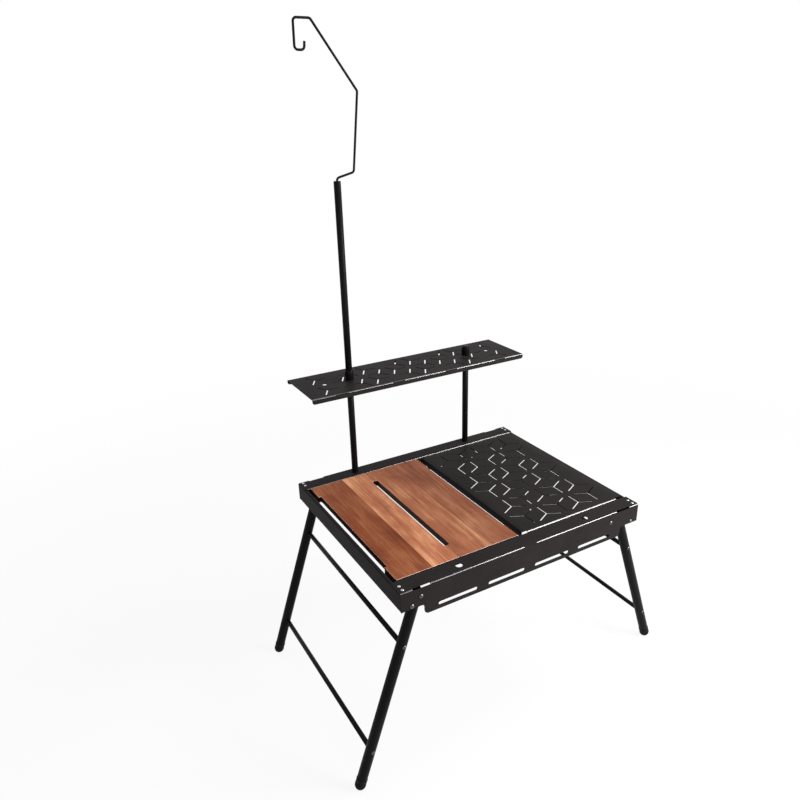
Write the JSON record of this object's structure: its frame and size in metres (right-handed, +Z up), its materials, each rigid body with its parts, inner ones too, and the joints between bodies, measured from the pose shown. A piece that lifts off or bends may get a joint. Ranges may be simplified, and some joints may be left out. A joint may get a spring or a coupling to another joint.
{
  "type": "modular camping table",
  "caption": "Low folding camping table with a bent steel frame, lift-out acacia and slotted steel panels, nesting tube legs, and a raised rear shelf with a lantern hook.",
  "frame": {"origin": "on the floor, in the middle of the whole object's box", "axes": "+X to the right along the front rail, +Y to the back where the shelf tower stands, +Z up"},
  "size_m": [0.7398, 0.4828, 1.2331],
  "materials": {
    "frame_coat": "fine matt black powder coat on sheet steel",
    "tube_coat": "satin black coat on tube and rod",
    "hardware": "smooth black, brighter on domed heads",
    "nylon": "matt black",
    "foot_rubber": "matt black",
    "left_acacia": "warm reddish oiled board, glued from two staves",
    "middle_acacia": "warm reddish oiled board, glued from two staves"
  },
  "bodies": {
    "frame": {"front_rail": "frame_coat", "rear_rail": "frame_coat", "left_end_rail": "frame_coat", "right_end_rail": "frame_coat", "left_front_outer_corner_rivet": "hardware", "left_front_inner_corner_rivet": "hardware", "left_rear_outer_corner_rivet": "hardware", "left_rear_inner_corner_rivet": "hardware", "right_front_outer_corner_rivet": "hardware", "right_front_inner_corner_rivet": "hardware", "right_rear_outer_corner_rivet": "hardware", "right_rear_inner_corner_rivet": "hardware", "left_rear_socket_insert": "hardware", "right_rear_socket_insert": "hardware", "left_front_pivot_rivet": "hardware", "left_rear_pivot_rivet": "hardware", "right_front_pivot_rivet": "hardware", "right_rear_pivot_rivet": "hardware", "left_front_pivot_washer": "nylon", "left_rear_pivot_washer": "nylon", "right_front_pivot_sleeve": "nylon", "right_rear_pivot_sleeve": "nylon", "left_front_leg_stop": "hardware", "left_rear_leg_stop": "hardware", "right_front_fold_stop": "hardware", "right_rear_fold_stop": "hardware"},
    "left_leg_frame": {"left_front_leg_tube": "tube_coat", "left_rear_leg_tube": "tube_coat", "left_front_foot_cap": "foot_rubber", "left_rear_foot_cap": "foot_rubber", "left_upper_cross_rod": "tube_coat", "left_lower_cross_rod": "tube_coat", "left_front_upper_rod_screw": "hardware", "left_front_lower_rod_screw": "hardware", "left_rear_upper_rod_screw": "hardware", "left_rear_lower_rod_screw": "hardware"},
    "right_leg_frame": {"right_front_leg_tube": "tube_coat", "right_rear_leg_tube": "tube_coat", "right_front_foot_cap": "foot_rubber", "right_rear_foot_cap": "foot_rubber", "right_upper_cross_rod": "tube_coat", "right_lower_cross_rod": "tube_coat", "right_front_upper_rod_screw": "hardware", "right_front_lower_rod_screw": "hardware", "right_rear_upper_rod_screw": "hardware", "right_rear_lower_rod_screw": "hardware"},
    "left_panel": {"left_wood_panel": "left_acacia"},
    "middle_panel": {"middle_wood_panel": "middle_acacia"},
    "steel_plate": {"right_steel_plate": "frame_coat"},
    "shelf_tower": {"left_lower_pole": "tube_coat", "right_lower_pole": "tube_coat", "tower_shelf": "frame_coat", "left_shelf_nut": "hardware", "right_shelf_nut": "hardware"},
    "lantern_pole": {"upper_pole": "tube_coat"},
    "hook": {"lantern_hook": "tube_coat"}
  },
  "joints": [
    {"name": "left_leg_fold", "type": "hinge", "parent": "frame", "child": "left_leg_frame", "pos_m": [-0.23626, -0.0226, 0.3726], "axis": [0, -1, 0], "range_deg": [0, 108.8]},
    {"name": "right_leg_fold", "type": "hinge", "parent": "frame", "child": "right_leg_frame", "pos_m": [0.23244, -0.0226, 0.3578], "axis": [0, 1, 0], "range_deg": [0, 110.1]},
    {"name": "left_panel_lift", "type": "slide", "parent": "frame", "child": "left_panel", "axis": [0, 0, 1], "range_m": [0, 0.06]},
    {"name": "middle_panel_lift", "type": "slide", "parent": "frame", "child": "middle_panel", "axis": [0, 0, 1], "range_m": [0, 0.06]},
    {"name": "steel_plate_lift", "type": "slide", "parent": "frame", "child": "steel_plate", "axis": [0, 0, 1], "range_m": [0, 0.06]},
    {"name": "shelf_tower_lift", "type": "slide", "parent": "frame", "child": "shelf_tower", "axis": [0, 0, 1], "range_m": [0, 0.06]},
    {"name": "lantern_pole_lift", "type": "slide", "parent": "shelf_tower", "child": "lantern_pole", "axis": [0, 0, 1], "range_m": [0, 0.04]},
    {"name": "hook_swivel", "type": "hinge", "parent": "lantern_pole", "child": "hook", "pos_m": [-0.15206, 0.1764, 0.977], "axis": [0, 0, 1], "continuous": true}
  ]
}
